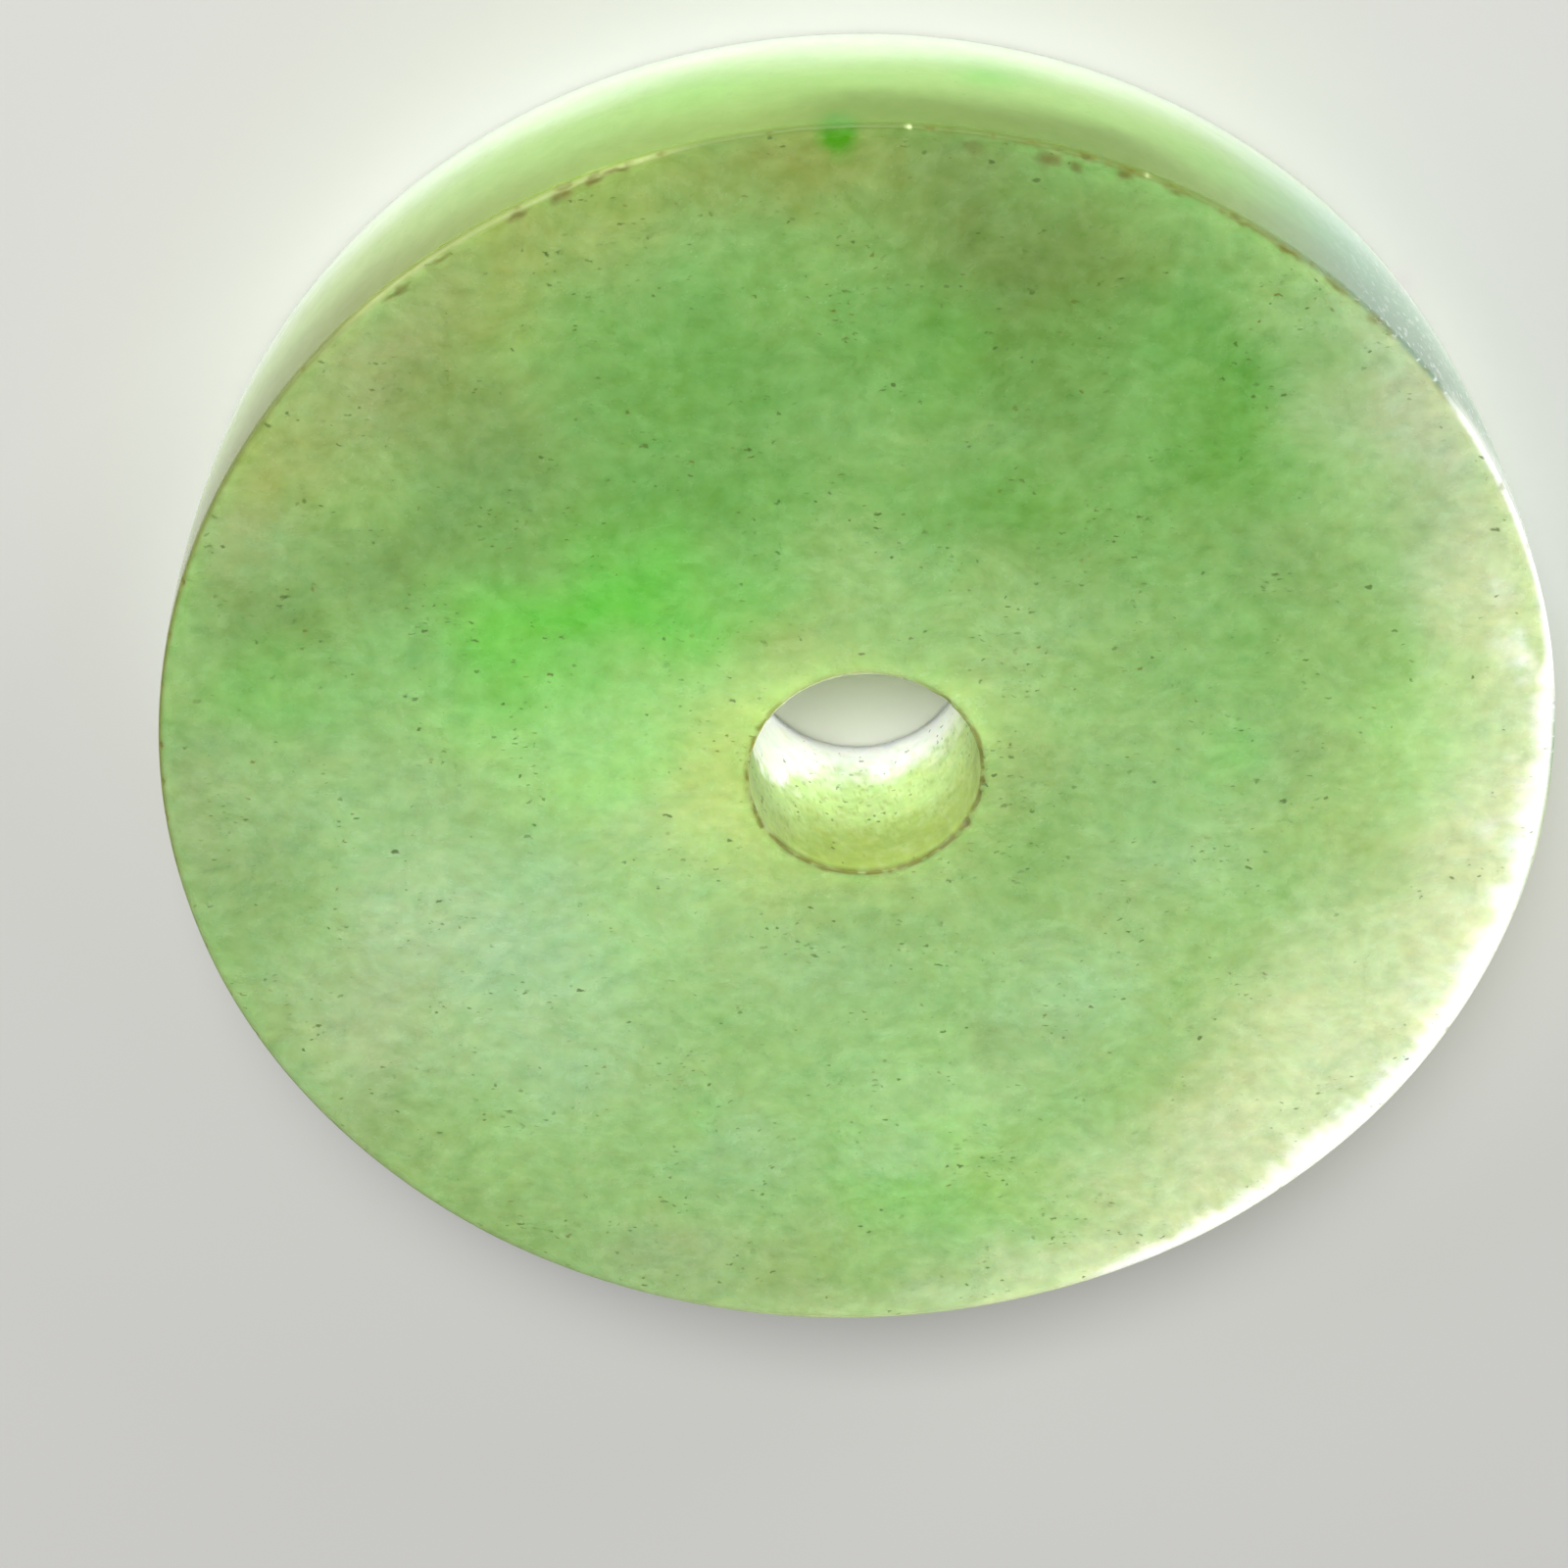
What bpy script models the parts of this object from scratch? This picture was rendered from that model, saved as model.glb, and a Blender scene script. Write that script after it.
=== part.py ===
"""Jade donut pendant: a thick flat disc of green stone with a round hole, lying on its back face.

The frame has +Z up, with the origin at the centre of the underside. All lengths are in metres.
"""

import math

import bpy

# Driving dimensions
DIAMETER = 0.050  # widest, half way up the rim
THICKNESS = 0.0088
RIM_BULGE = 0.00018  # how far the middle of the rim stands out past its two ends
FRONT_EDGE_ROUND = 0.0002
BACK_EDGE_ROUND = 0.0004
BORE_DIAMETER = 0.0082
BORE_CENTRE = (0.00025, 0.0005)  # the hole was drilled a little off centre
BORE_EDGE_ROUND = 0.00015

# How far the drill that cuts the bore runs past each face
DRILL_OVERRUN = 0.002

# Resolution of the round shapes
DISC_STEPS = 144
BORE_STEPS = 96
ROUND_SEGMENTS = 4
RIM_SEGMENTS = 6
MERGE_DISTANCE = 0.000001

JADE_COLOR = (0.33, 0.56, 0.22, 1.0)
JADE_ROUGHNESS = 0.16


def clear_scene():
    for obj in list(bpy.data.objects):
        bpy.data.objects.remove(obj, do_unlink=True)


def new_collection(name):
    collection = bpy.data.collections.new(name)
    bpy.context.scene.collection.children.link(collection)
    return collection


def jade_material():
    material = bpy.data.materials.new("jade")
    material.use_nodes = True
    shader = material.node_tree.nodes["Principled BSDF"]
    shader.inputs["Base Color"].default_value = JADE_COLOR
    shader.inputs["Roughness"].default_value = JADE_ROUGHNESS
    shader.inputs["Metallic"].default_value = 0.0
    return material


def arc(centre_x, centre_z, radius, start_deg, end_deg, segments):
    """Points on an arc in the profile's plane, both ends included, with angles from +X towards +Z."""
    points = []
    for step in range(segments + 1):
        angle = math.radians(start_deg + (end_deg - start_deg) * step / segments)
        points.append((centre_x + radius * math.cos(angle), centre_z + radius * math.sin(angle)))
    return points


def disc_profile():
    """The disc's half section from the axis on the front face, down the rim, to the axis on the back."""
    end_radius = DIAMETER / 2 - RIM_BULGE
    rim_top = THICKNESS - FRONT_EDGE_ROUND
    rim_bottom = BACK_EDGE_ROUND
    front = arc(end_radius - FRONT_EDGE_ROUND, rim_top, FRONT_EDGE_ROUND, 90, 0, ROUND_SEGMENTS)
    back = arc(end_radius - BACK_EDGE_ROUND, rim_bottom, BACK_EDGE_ROUND, 0, -90, ROUND_SEGMENTS)
    rim = []
    for step in range(1, RIM_SEGMENTS):
        share = step / RIM_SEGMENTS
        bulge = RIM_BULGE * (1 - (2 * share - 1) ** 2)
        rim.append((end_radius + bulge, rim_top + (rim_bottom - rim_top) * share))
    return [(0.0, THICKNESS)] + front + rim + back + [(0.0, 0.0)]


def drill_profile():
    """The drill's half section: the bore's radius, flared at each face to round the bore's two edges."""
    radius = BORE_DIAMETER / 2
    mouth = radius + BORE_EDGE_ROUND
    top = THICKNESS + DRILL_OVERRUN
    bottom = -DRILL_OVERRUN
    upper = arc(mouth, THICKNESS - BORE_EDGE_ROUND, BORE_EDGE_ROUND, 90, 180, ROUND_SEGMENTS)
    lower = arc(mouth, BORE_EDGE_ROUND, BORE_EDGE_ROUND, 180, 270, ROUND_SEGMENTS)
    return [(0.0, top), (mouth, top)] + upper + lower + [(mouth, bottom), (0.0, bottom)]


def turned(name, profile, steps, collection):
    """A solid of revolution about +Z from a profile that runs down its outer side."""
    mesh = bpy.data.meshes.new(name)
    edges = [(i, i + 1) for i in range(len(profile) - 1)]
    mesh.from_pydata([(x, 0.0, z) for x, z in profile], edges, [])
    obj = bpy.data.objects.new(name, mesh)
    collection.objects.link(obj)
    screw = obj.modifiers.new("turn", "SCREW")
    screw.axis = "Z"
    screw.angle = math.tau
    screw.steps = steps
    screw.render_steps = steps
    screw.use_smooth_shade = True
    screw.use_merge_vertices = True
    screw.merge_threshold = MERGE_DISTANCE
    return obj


def bore_drill(collection):
    drill = turned("bore_drill", drill_profile(), BORE_STEPS, collection)
    drill.location = (BORE_CENTRE[0], BORE_CENTRE[1], 0.0)
    drill.hide_render = True
    drill.display_type = "WIRE"
    return drill


def jade_disc(collection, drill, material):
    disc = turned("jade_disc", disc_profile(), DISC_STEPS, collection)
    disc.data.materials.append(material)
    cut = disc.modifiers.new("bore", "BOOLEAN")
    cut.operation = "DIFFERENCE"
    cut.solver = "EXACT"
    cut.object = drill
    # The flat faces keep flat shading next to the rounded edges
    disc.modifiers.new("even_shading", "WEIGHTED_NORMAL").mode = "FACE_AREA"


def main():
    clear_scene()
    parts = new_collection("jade_donut_pendant")
    cutters = new_collection("cutters")
    jade_disc(parts, bore_drill(cutters), jade_material())


main()
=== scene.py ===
"""Looks of the jade donut pendant: a thick disc of cloudy green jade, lying on its back face.

Lengths are in millimetres, except where a name or a comment says metres. On the front face +X is right and
+Y is up as the photograph shows it.
"""

import math
import random

import bpy
import numpy as np
from mathutils import Matrix, Vector, noise


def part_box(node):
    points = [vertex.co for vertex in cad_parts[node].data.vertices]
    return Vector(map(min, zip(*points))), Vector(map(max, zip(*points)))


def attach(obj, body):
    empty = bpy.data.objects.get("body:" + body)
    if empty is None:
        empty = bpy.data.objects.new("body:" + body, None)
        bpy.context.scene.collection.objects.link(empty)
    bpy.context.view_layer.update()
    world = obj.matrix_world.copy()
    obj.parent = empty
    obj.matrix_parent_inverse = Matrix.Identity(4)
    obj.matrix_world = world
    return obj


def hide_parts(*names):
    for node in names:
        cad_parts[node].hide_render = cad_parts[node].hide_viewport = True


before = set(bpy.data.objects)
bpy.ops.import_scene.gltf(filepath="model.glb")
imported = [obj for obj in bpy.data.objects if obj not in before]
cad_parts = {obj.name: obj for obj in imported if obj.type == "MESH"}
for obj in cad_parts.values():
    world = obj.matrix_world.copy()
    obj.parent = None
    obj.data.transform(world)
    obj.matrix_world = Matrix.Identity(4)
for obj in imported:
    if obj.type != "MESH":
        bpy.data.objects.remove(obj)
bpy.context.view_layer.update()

MM = 0.001
LOW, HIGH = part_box("jade_disc")

NOISE_SEED = 1
noise.seed_set(NOISE_SEED)  # the noise that gives vectors is otherwise new in each run

# The outline comes from the frame. The bulge and the bore repeat the solid's sizes, and the edges are a
# little crisper than the solid's.
RADIUS = (HIGH.x - LOW.x) / 2 / MM
THICKNESS = (HIGH.z - LOW.z) / MM
RIM_BULGE = 0.18
END_RADIUS = RADIUS - RIM_BULGE  # of the outline at the two faces
BORE_RADIUS = 4.1
BORE_X, BORE_Y = 0.25, 0.5
FRONT_EDGE_ROUND = 0.13
BACK_EDGE_ROUND = 0.2
BORE_EDGE_ROUND = 0.12
WORN_EDGE_AT, WORN_EDGE_REACH = 120.0, 18.0  # degrees along the front edge where it is worn rounder
WORN_EDGE_ROUND = 0.13

# The photograph's camera, as fitted to the disc's edges in its 1600 pixel frame
PHOTO_PX = 1600
FOCAL_PX = 3437
SENSOR_MM = 36
CAMERA_DISTANCE = 120.2  # from the front face's centre, along the line of sight
CAMERA_TILT = math.radians(31.9)  # between the line of sight and the front face's normal
CAMERA_TURN = math.radians(0.76)
FACE_RIGHT_OF_AXIS = 2.63
FACE_ABOVE_AXIS = -0.11

# Rows of mesh points that run once round the disc, closest together at its edges
FINE, MIDDLE, COARSE = 1440, 720, 360  # points in a row
ARC_ROWS = 8
FRONT_INSETS = (0.0, 0.06, 0.13, 0.21, 0.31, 0.45, 0.65, 0.95)
BACK_INSETS = (0.0, 0.15, 0.4, 0.9)
MIDDLE_INSETS = (1.4, 1.9, 2.4, 3.0)
PLAIN_STEP = 0.68  # between the rows in the middle of a face
MOUTH_INSETS = (1.1, 0.7, 0.45, 0.28, 0.17, 0.08)
RIM_DROPS = (0.08, 0.17, 0.28, 0.43, 0.65)
RIM_PLAIN_DROPS = (0.95, 1.4, 1.9, 2.5, 3.2, 3.9, 4.6, 5.3, 6.0, 6.6, 7.1, 7.5)
RIM_LOW_DROPS = (7.8, 8.1)
WALL_ROWS = 36

# Chips along the edges: angle in degrees, length along the edge, depth
FRONT_CHIPS = (
    (117.5, 0.5, 0.09), (113.5, 0.8, 0.13), (111.0, 0.5, 0.12), (76.0, 0.4, 0.1), (73.8, 0.5, 0.13),
    (70.3, 0.4, 0.1), (67.0, 0.3, 0.09), (61.5, 0.5, 0.11), (57.5, 0.4, 0.1), (53.0, 0.5, 0.09),
    (47.0, 0.35, 0.1), (33.0, 0.4, 0.1), (29.0, 0.3, 0.1), (160.5, 0.3, 0.12), (165.5, 0.35, 0.1),
    (176.0, 0.3, 0.13), (179.5, 0.4, 0.12), (183.0, 0.3, 0.1), (196.0, 0.3, 0.08), (206.0, 0.25, 0.1),
)
BACK_CHIPS = ((39.0, 0.9, 0.42), (66.0, 0.3, 0.12), (131.0, 0.3, 0.1), (214.0, 0.5, 0.18), (301.0, 0.4, 0.15))
BORE_CHIPS = (
    (12.0, 0.7, 0.12), (-4.0, 0.4, 0.17), (-14.0, 0.8, 0.12), (-29.0, 0.5, 0.18), (-44.0, 0.9, 0.1),
    (-70.0, 0.5, 0.08), (-112.0, 0.6, 0.08), (-136.0, 0.8, 0.11), (-160.0, 0.5, 0.1), (48.0, 0.6, 0.12),
    (30.0, 0.4, 0.1), (150.0, 0.5, 0.08), (80.0, 0.3, 0.06),
)
EDGE_SCATTER, MOUTH_SCATTER = 60, 18  # small chips scattered along the outer edges and the bore's mouths
SCATTER_LENGTH = (0.1, 0.3)
SCATTER_DEPTH = (0.03, 0.09)
# A chip's ball: its radius and its half length, as shares of the chip's depth and length, how far outside the
# edge its centre lies, and how uneven its surface is
CHIP_REACH, CHIP_HALF_LENGTH = 1.9, 0.62
CHIP_OFFSET, CHIP_UNEVENNESS = 0.55, 0.18

# How deep the unevenness of the hand-worked surfaces goes
BORE_RINGS, BORE_LUMPS = 0.035, 0.05
RIM_FACETS = 0.045
FACE_DIP = 0.012


def field(points, size, seed=0):
    """Smooth noise from about -1 to 1 at each point, with features about size across, new for each seed."""
    shift = Vector((31.7, -17.3, 11.9)) * seed
    return np.array([noise.noise(Vector(point) / size + shift) for point in points])


def bend(points, size, reach):
    """The points, each moved by up to about reach with noise of a size."""
    return points + reach * np.array([noise.noise_vector(Vector(point) / size) for point in points])


def smooth_step(value, low, high):
    share = np.clip((value - low) / (high - low), 0.0, 1.0)
    return share * share * (3 - 2 * share)


def angles(count):
    return np.arange(count) * math.tau / count


def ring(count, radius, height, x=0.0, y=0.0):
    """A row of points round a vertical axis. radius and height are numbers or one value per point."""
    turn = angles(count)
    across = x + radius * np.cos(turn)
    along = y + radius * np.sin(turn)
    return np.column_stack([across, along, np.broadcast_to(height, count)])


def front_round(turn):
    """The front edge's rounding at each angle: uneven, and wider along its worn stretch."""
    gap = np.abs((np.degrees(turn) - WORN_EDGE_AT + 180) % 360 - 180)
    worn = np.maximum(0.0, 1 - (gap / WORN_EDGE_REACH) ** 2)
    unevenness = field(np.column_stack([np.cos(turn), np.sin(turn), 0 * turn]), 0.33, 1)
    return FRONT_EDGE_ROUND * (1 + 0.4 * unevenness) + WORN_EDGE_ROUND * worn


def back_round(turn):
    unevenness = field(np.column_stack([np.cos(turn), np.sin(turn), 0 * turn]), 0.33, 2)
    return BACK_EDGE_ROUND * (1 + 0.4 * unevenness)


def face_rows(height, edge_round, fine_insets):
    """Rows across one flat face, from the outer edge in to the bore's mouth."""
    mouth_radius = BORE_RADIUS + BORE_EDGE_ROUND
    width = END_RADIUS - mouth_radius
    plain = np.arange(MIDDLE_INSETS[-1] + PLAIN_STEP, width - MOUTH_INSETS[0] - PLAIN_STEP / 2, PLAIN_STEP)
    mouth = [width - inset for inset in MOUTH_INSETS]
    rows = []
    for count, insets in ((FINE, fine_insets), (MIDDLE, MIDDLE_INSETS), (COARSE, [*plain, *mouth])):
        outer = ring(count, END_RADIUS - edge_round(angles(count)), height)
        inner = ring(count, mouth_radius, height, BORE_X, BORE_Y)
        rows += [outer + (inner - outer) * inset / width for inset in insets]
    return rows


def rim_radius(height):
    """The outer wall's radius at a height: it bulges slightly between its two ends."""
    return END_RADIUS + RIM_BULGE * (1 - (2 * height / THICKNESS - 1) ** 2)


def outer_arc(edge_round, face_height, inward, steps):
    """Rows round the outer edge of a face. inward is -1 below the front face and +1 above the back one."""
    rounding = edge_round(angles(FINE))
    rows = []
    for step in steps:
        turn = math.radians(90 * step / ARC_ROWS)
        radius = END_RADIUS - rounding * (1 - math.sin(turn))
        rows.append(ring(FINE, radius, face_height + inward * rounding * (1 - math.cos(turn))))
    return rows


def rim_rows():
    rows = []
    for count, drops in ((FINE, RIM_DROPS), (MIDDLE, RIM_PLAIN_DROPS), (FINE, RIM_LOW_DROPS)):
        for drop in drops:
            height = THICKNESS - FRONT_EDGE_ROUND - drop
            rows.append(ring(count, rim_radius(height), height))
    return rows


def bore_rows():
    """Rows down the bore, from its front mouth to its back one."""
    profile = []
    mouth = BORE_RADIUS + BORE_EDGE_ROUND
    steps = range(ARC_ROWS // 2 + 1)
    turns = [math.radians(90 * step / (ARC_ROWS // 2)) for step in steps]
    arc = [(mouth - BORE_EDGE_ROUND * math.sin(t), BORE_EDGE_ROUND * (1 - math.cos(t))) for t in turns]
    profile += [(radius, THICKNESS - drop) for radius, drop in arc]
    wall = THICKNESS - 2 * BORE_EDGE_ROUND
    top = THICKNESS - BORE_EDGE_ROUND
    profile += [(BORE_RADIUS, top - wall * i / WALL_ROWS) for i in range(1, WALL_ROWS)]
    profile += [(radius, drop) for radius, drop in reversed(arc)]
    return [ring(COARSE, radius, height, BORE_X, BORE_Y) for radius, height in profile]


def strip(first, first_count, second, second_count):
    """Faces between two rows, of which one may have twice the other's points."""
    faces = []
    if first_count == second_count:
        for i in range(first_count):
            j = (i + 1) % first_count
            faces.append((first + i, first + j, second + j, second + i))
        return faces
    flip = first_count < second_count
    many, many_count, few = (second, second_count, first) if flip else (first, first_count, second)
    for i in range(many_count // 2):
        a, b, c = many + 2 * i, many + 2 * i + 1, many + (2 * i + 2) % many_count
        d, e = few + i, few + (i + 1) % (many_count // 2)
        three = [(a, b, d), (b, e, d), (b, c, e)]
        faces += [face[::-1] for face in three] if flip else three
    return faces


def scattered_chips(count, seed):
    draw = random.Random(seed)
    chips = []
    for _ in range(count):
        chips.append((draw.uniform(0, 360), draw.uniform(*SCATTER_LENGTH), draw.uniform(*SCATTER_DEPTH)))
    return tuple(chips)


def carve(points, chipped, chips, radius, height, outward, centre=(0.0, 0.0)):
    """Scoops chips out of an edge. outward is +1 for the disc's outline and -1 for the bore's mouth.

    A chip is a flattened ball whose centre lies just off the edge. Points inside it move to its surface.
    """
    up = 1.0 if height > THICKNESS / 2 else -1.0
    for number, (degrees, length, depth) in enumerate(chips):
        turn = math.radians(degrees)
        radial = np.array([math.cos(turn), math.sin(turn), 0.0]) * outward
        along = np.array([-math.sin(turn), math.cos(turn), 0.0])
        edge = np.array([centre[0] + radius * math.cos(turn), centre[1] + radius * math.sin(turn), height])
        reach = CHIP_REACH * depth
        ball = edge + (radial + np.array([0.0, 0.0, up])) * (reach - depth) * CHIP_OFFSET
        offset = points - ball
        parts = [offset @ along / (length * CHIP_HALF_LENGTH), offset @ radial / reach, offset[:, 2] / reach]
        near = np.flatnonzero(np.linalg.norm(parts, axis=0) < 1.4)
        rough = 1 + CHIP_UNEVENNESS * field(points[near], 0.25, number)
        share = np.linalg.norm(parts, axis=0)[near] / rough
        chipped[near] = np.maximum(chipped[near], np.clip((1.3 - share) / 0.3, 0.0, 1.0))
        inside = share < 1.0
        points[near[inside]] = ball + offset[near[inside]] / np.maximum(share[inside], 0.05)[:, None]


def carve_edges(points):
    """Chips on all four edges. Returns how chipped each point is, from 0 to 1, for front and back edges."""
    front = np.zeros(len(points))
    back = np.zeros(len(points))
    bore = (BORE_X, BORE_Y)
    carve(points, front, FRONT_CHIPS + scattered_chips(EDGE_SCATTER, 3), END_RADIUS, THICKNESS, 1)
    carve(points, front, BORE_CHIPS + scattered_chips(MOUTH_SCATTER, 5), BORE_RADIUS, THICKNESS, -1, bore)
    carve(points, back, BACK_CHIPS + scattered_chips(EDGE_SCATTER, 4), END_RADIUS, 0.0, 1)
    carve(points, back, scattered_chips(MOUTH_SCATTER, 6), BORE_RADIUS, 0.0, -1, bore)
    return front, back


def settle(points):
    """Gentle unevenness of the hand-worked surfaces, always inwards, so that the disc keeps its box."""
    from_bore = points[:, :2] - (BORE_X, BORE_Y)
    gap = np.linalg.norm(from_bore, axis=1)
    wall = gap < BORE_RADIUS + 0.02
    rings = 0.5 + 0.5 * field(points[wall] * (0.3, 0.3, 1.4), 1.0, 5)
    lumps = 0.5 + 0.5 * field(points[wall] * (0.9, 0.9, 0.6), 1.0, 6)
    points[wall, :2] += from_bore[wall] / gap[wall, None] * (BORE_RINGS * rings + BORE_LUMPS * lumps)[:, None]
    radius = np.linalg.norm(points[:, :2], axis=1)
    rim = radius > END_RADIUS - 0.6
    facets = 0.5 + 0.5 * field(points[rim] * (0.16, 0.16, 0.25), 1.0, 7)
    points[rim, :2] *= (1 - RIM_FACETS * facets / radius[rim])[:, None]
    front = points[:, 2] > THICKNESS - 0.001
    points[front, 2] -= FACE_DIP * (0.5 + 0.5 * field(points[front] * (0.1, 0.1, 0.0), 1.0, 8))


def srgb(red, green, blue):
    """A colour given as 0 to 255 screen values, as the shader's linear values."""
    return tuple(((c / 255 + 0.055) / 1.055) ** 2.4 for c in (red, green, blue)) + (1.0,)


# Zones of colour in the stone. A zone is a soft patch: centre, half sizes, turn of its length from +X in
# degrees, strength. It fades out towards its edge.
COLUMN = 1000.0  # half height of a zone that goes right through the stone


def column(x, y, length, width, turn, strength):
    """A zone through the whole thickness, seen on both faces."""
    return (x, y, 0.0), (length, width, COLUMN), turn, strength


def on_rim(degrees, depth, along, high, strength):
    """A zone on the outer wall at an angle, so far below the front face."""
    turn = math.radians(degrees)
    centre = (RADIUS * math.cos(turn), RADIUS * math.sin(turn), THICKNESS - depth)
    return centre, (along, 1.5, high), degrees + 90, strength


def by_edge(degrees, inset, along, across, strength):
    """A small zone on the front face, so far in from its outer edge."""
    turn = math.radians(degrees)
    radius = END_RADIUS - inset
    centre = (radius * math.cos(turn), radius * math.sin(turn), THICKNESS)
    return centre, (along, across, 0.35), degrees + 90, strength


JADE_BASE = srgb(163, 203, 128)
# Deep green zones; the broad one across the top is partly the stone's own colour and partly painted shade
DEEP_GREEN = (srgb(98, 168, 56), (
    column(0, 21, 24, 12, 0, 0.35), column(-4, 14, 10, 7, 60, 0.37), column(4, 17, 7, 5, 0, 0.5),
    column(12, 14, 8, 5, 80, 0.75), column(9, 19, 6, 4, -30, 0.33), column(6, 11, 6, 5, 0, 0.6),
    column(-8, 16, 7, 6, 0, 0.35), column(-13, 10, 9, 5, 20, 0.45), column(13, 6, 8, 6, 0, 0.35),
    column(-20, 5, 6, 5, 0, 0.3), column(6, -3, 4, 4, 0, 0.2), column(19.6, 4, 2.6, 5, 0, 0.35),
    column(-6, 10.7, 7, 3, 8, 0.35), column(9, 0, 3.5, 4, 0, 0.15), column(8, 15, 3, 3, 0, 0.15),
    column(-2.5, 7.5, 5, 3, 10, 0.1), column(1.5, 11.5, 6, 4, 0, 0.35),
))
LIGHT_GREEN = (srgb(178, 234, 138), (
    column(-8.5, 1.2, 7, 5.2, 15, 0.8), column(-4.5, -2.5, 5, 4, 0, 0.25), column(-8, -5, 7, 6, 0, 0.45),
    column(3, -15, 7, 6, 0, 0.4), column(-12.8, 3.2, 5, 2.4, 20, 0.45), column(20, 2, 4, 6, 0, 0.6),
    column(6.5, -19, 6, 4, 0, 0.3), column(-6.5, 5, 4.5, 3, 20, 0.4),
))
VIVID_GREEN = (srgb(104, 211, 60), (
    column(-8.2, 8.0, 4.4, 2.9, 15, 0.46), column(-12.2, 6.0, 5.5, 3.4, 15, 0.46),
    column(-9.6, 6.6, 11, 5.4, 22, 0.3), column(-4.9, 7.2, 5, 3.0, 10, 0.25),
    column(-20.4, 4.0, 3.6, 2.6, 0, 0.22), column(1.6, -18.6, 4.0, 2.2, -10, 0.15),
    column(4, -18.4, 6, 3, 0, 0.12), column(-6.2, -14.8, 1.8, 1.5, 0, 0.15),
    column(13, 1.0, 2.6, 2.8, 0, 0.2),
))
PALE_CLOUD = (srgb(184, 219, 170), (
    column(-14, -5, 10, 6, -35, 0.65), column(-12, -11, 8, 6, -30, 0.55), column(8, -9, 6, 4.5, 20, 0.4),
    column(12, -3, 4, 3, 0, 0.3), column(-4.5, -16.3, 4, 2.5, 0, 0.3), column(-1, -8, 6, 4, 0, 0.25),
    column(1.5, -16.5, 3, 2, 0, 0.3), column(4.5, 13, 3, 2, 0, 0.1), column(1.5, -12.8, 5, 3.5, 0, 0.2),
))
# Olive zones; those along the top edge are partly the stone's own colour and partly painted shade
OLIVE = (srgb(118, 146, 72), (
    column(5, 20, 6.5, 4.5, -10, 0.8), column(6, 15, 4, 4, 0, 0.35), column(-12.5, 13, 5, 5, 20, 0.5),
    column(-21, 7, 4, 3.5, 0, 0.55), column(-16, 9, 5, 3, 0, 0.45), column(16.5, 1.5, 2.5, 2, 0, 0.3),
    column(6, -2, 3.5, 5, 0, 0.2), column(-22.5, -4, 4, 7, 0, 0.32), column(-13, -19.5, 5, 3, -35, 0.3),
    column(5.5, -11.5, 1.6, 1.4, 0, 0.3), column(-2, 23, 10, 3, 5, 0.35), column(-16, 16, 8, 5, 45, 0.35),
    column(14, 9, 4, 4, 0, 0.3), column(0, 24.5, 14, 2.5, 0, 0.35), column(-20.5, 11, 3.5, 3, 60, 0.25),
    column(0.5, -6.0, 4.5, 2.4, 0, 0.15), column(7.5, 9, 4, 5, 0, 0.13), column(-24, 1.5, 3, 5, 0, 0.25),
    column(-22, -11, 3, 4, -20, 0.2), column(8.5, 21, 3, 2.5, 0, 0.2), column(-15, 16.3, 4, 3, 40, 0.28),
    column(-18.5, -16.5, 5, 5, 0, 0.3), column(-8, -21.5, 5, 3, 0, 0.2), column(-3, -23.5, 9, 3, 0, 0.25),
    column(2.5, 22.5, 4, 3, 0, 0.2),
))
HONEY = (srgb(176, 178, 84), (
    column(-18.5, 16.5, 8, 3.5, 48, 0.34), column(-11, 21, 8, 3.5, 28, 0.36), column(-4, 23.5, 8, 3, 10, 0.4),
    column(8, 20.5, 4, 3, 0, 0.15), column(14, -14, 4, 3, 30, 0.2), column(17, 6, 4, 4, 0, 0.08),
    column(5, -18, 4, 3, 0, 0.2), column(-21, 11, 5, 2.5, 60, 0.25), column(0, 22, 8, 4, 0, 0.15),
    column(6, 2, 3, 4, 0, 0.08), column(-14, 17, 11, 5, 42, 0.25), column(-18, -12, 6, 6, 0, 0.12),
    column(19, -1, 4, 6, 0, 0.12), column(-19, 12, 4, 4, 0, 0.2), column(-4, 6.2, 4.5, 2.2, 0, 0.17),
    column(BORE_X, BORE_Y, 7.5, 7.5, 0, 0.3), column(-3, -22, 8, 3, 0, 0.1),
))
# Cream clouds of the stone; along the right and bottom edges they are partly painted glow
CREAM = (srgb(242, 249, 203), (
    column(26, -2, 9, 22, 0, 0.85), column(22, -15.5, 11, 11.5, 40, 0.8),
    column(13.5, -23.5, 13, 6.5, 31, 0.9), column(19.5, 18.5, 10, 4.5, -48, 0.5),
    column(22, 9.5, 4, 8, 0, 0.25), column(0, -25, 14, 3.0, 0, 0.25), column(23, -8, 5, 8, -10, 0.35),
    column(20, -3, 5, 7, 0, 0.06), column(16.5, -10.5, 4.5, 6, 0, 0.34),
    column(12.4, -17.2, 8, 4.4, 35, 0.4), column(6.0, -23, 5, 3, 5, 0.5), column(9, -21.5, 3, 2.5, 0, 0.15),
    column(18, -6.5, 4, 4.5, 0, 0.27),
))
MIST = (srgb(204, 212, 182), (  # greyish patches
    column(19, 15.5, 9, 5, -50, 0.6), column(-18.5, -11.5, 6, 7, 20, 0.25), column(20, 10, 4, 6, 0, 0.25),
    column(-7, -5, 6, 5, 0, 0.17), column(-17, -7, 6, 5, 0, 0.25), column(-8, -22, 6, 3, 0, 0.1),
    column(-22.5, -2, 4, 6, 0, 0.15), column(-7.5, -1.5, 4.5, 2.5, 0, 0.17),
    column(4.5, -13.5, 5, 2.5, 0, 0.17), column(-5, -21.5, 6, 3, 0, 0.12), column(-21, 10, 3, 4, 60, 0.15),
    column(-17, 17, 6, 4, 45, 0.18),
))
HALO = srgb(204, 230, 138)  # painted glow that rings the bore
HALO_WIDTH = 4.2
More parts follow.
